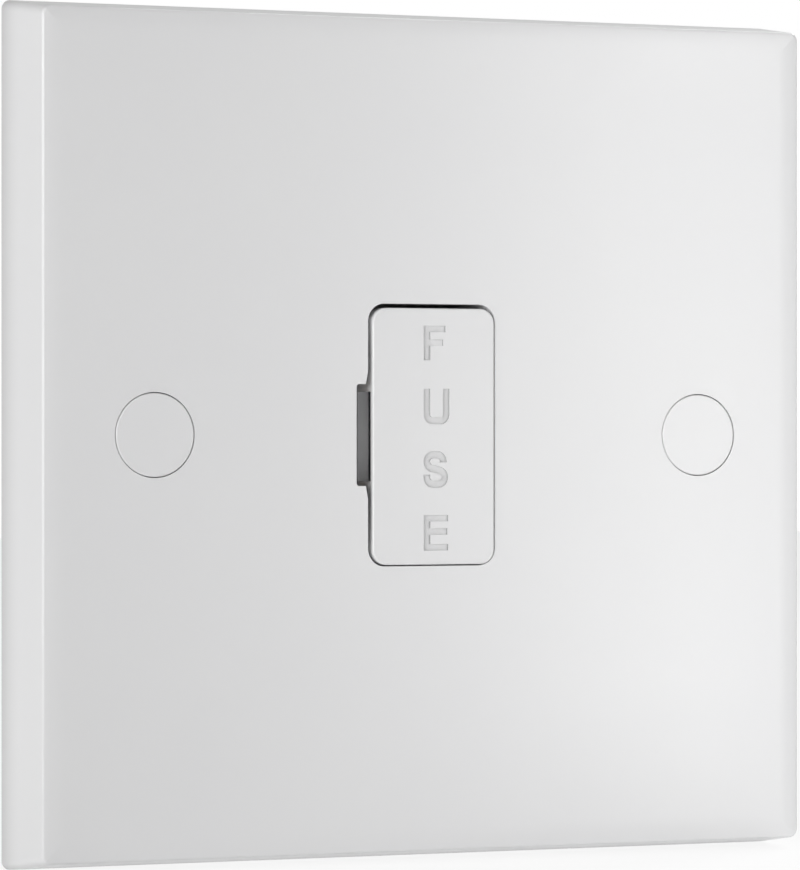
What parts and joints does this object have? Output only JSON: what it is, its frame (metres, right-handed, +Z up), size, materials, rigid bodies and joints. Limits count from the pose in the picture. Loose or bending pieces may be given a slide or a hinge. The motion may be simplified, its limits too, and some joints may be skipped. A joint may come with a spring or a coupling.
{
  "type": "fused spur unit",
  "caption": "Square white wall plate with a pull-out fuse carrier, flush caps over its fixing screws and a rear housing of screw terminals.",
  "frame": {"origin": "centre of the plate on the wall plane, midway between the fixing screws", "axes": "+X to the right seen from the room, +Y into the wall, +Z up"},
  "size_m": [0.086, 0.0309, 0.086],
  "materials": {
    "white_moulding": "satin",
    "housing_moulding": "satin",
    "terminal_brass": "machined",
    "contact_alloy": "rolled",
    "zinc_steel": "zinc plated",
    "fuse_ceramic": "glazed",
    "fuse_cap_metal": "nickel plated"
  },
  "bodies": {
    "plate": {"earth_load_terminal": "terminal_brass", "earth_strap": "contact_alloy", "earth_supply_terminal": "terminal_brass", "faceplate": "white_moulding", "fixing_screw_left": "zinc_steel", "fixing_screw_right": "zinc_steel", "housing_screws": "zinc_steel", "line_load_terminal": "terminal_brass", "line_supply_terminal": "terminal_brass", "load_fuse_clip": "contact_alloy", "neutral_link": "contact_alloy", "neutral_load_terminal": "terminal_brass", "neutral_supply_terminal": "terminal_brass", "rear_housing": "housing_moulding", "supply_fuse_clip": "contact_alloy"},
    "carrier": {"fuse_carrier": "white_moulding", "fuse_barrel": "fuse_ceramic", "fuse_cap_upper": "fuse_cap_metal", "fuse_cap_lower": "fuse_cap_metal"},
    "cap_left": {"screw_cap_left": "white_moulding"},
    "cap_right": {"screw_cap_right": "white_moulding"},
    "neutral_load_clamp": {"neutral_load_screw": "zinc_steel"},
    "neutral_supply_clamp": {"neutral_supply_screw": "zinc_steel"},
    "earth_load_clamp": {"earth_load_screw": "zinc_steel"},
    "earth_supply_clamp": {"earth_supply_screw": "zinc_steel"},
    "line_load_clamp": {"line_load_screw": "zinc_steel"},
    "line_supply_clamp": {"line_supply_screw": "zinc_steel"}
  },
  "joints": [
    {"name": "carrier_pull", "type": "slide", "parent": "plate", "child": "carrier", "axis": [0, -1, 0], "range_m": [0, 0.012]},
    {"name": "cap_left_pull", "type": "slide", "parent": "plate", "child": "cap_left", "axis": [0, -1, 0], "range_m": [0, 0.008]},
    {"name": "cap_right_pull", "type": "slide", "parent": "plate", "child": "cap_right", "axis": [0, -1, 0], "range_m": [0, 0.008]},
    {"name": "neutral_load_screw_travel", "type": "slide", "parent": "plate", "child": "neutral_load_clamp", "axis": [0, -1, 0], "range_m": [0, 0.0032]},
    {"name": "neutral_supply_screw_travel", "type": "slide", "parent": "plate", "child": "neutral_supply_clamp", "axis": [0, -1, 0], "range_m": [0, 0.0032]},
    {"name": "earth_load_screw_travel", "type": "slide", "parent": "plate", "child": "earth_load_clamp", "axis": [0, -1, 0], "range_m": [0, 0.0032]},
    {"name": "earth_supply_screw_travel", "type": "slide", "parent": "plate", "child": "earth_supply_clamp", "axis": [0, -1, 0], "range_m": [0, 0.0032]},
    {"name": "line_load_screw_travel", "type": "slide", "parent": "plate", "child": "line_load_clamp", "axis": [0, -1, 0], "range_m": [0, 0.0032]},
    {"name": "line_supply_screw_travel", "type": "slide", "parent": "plate", "child": "line_supply_clamp", "axis": [0, -1, 0], "range_m": [0, 0.0032]}
  ]
}
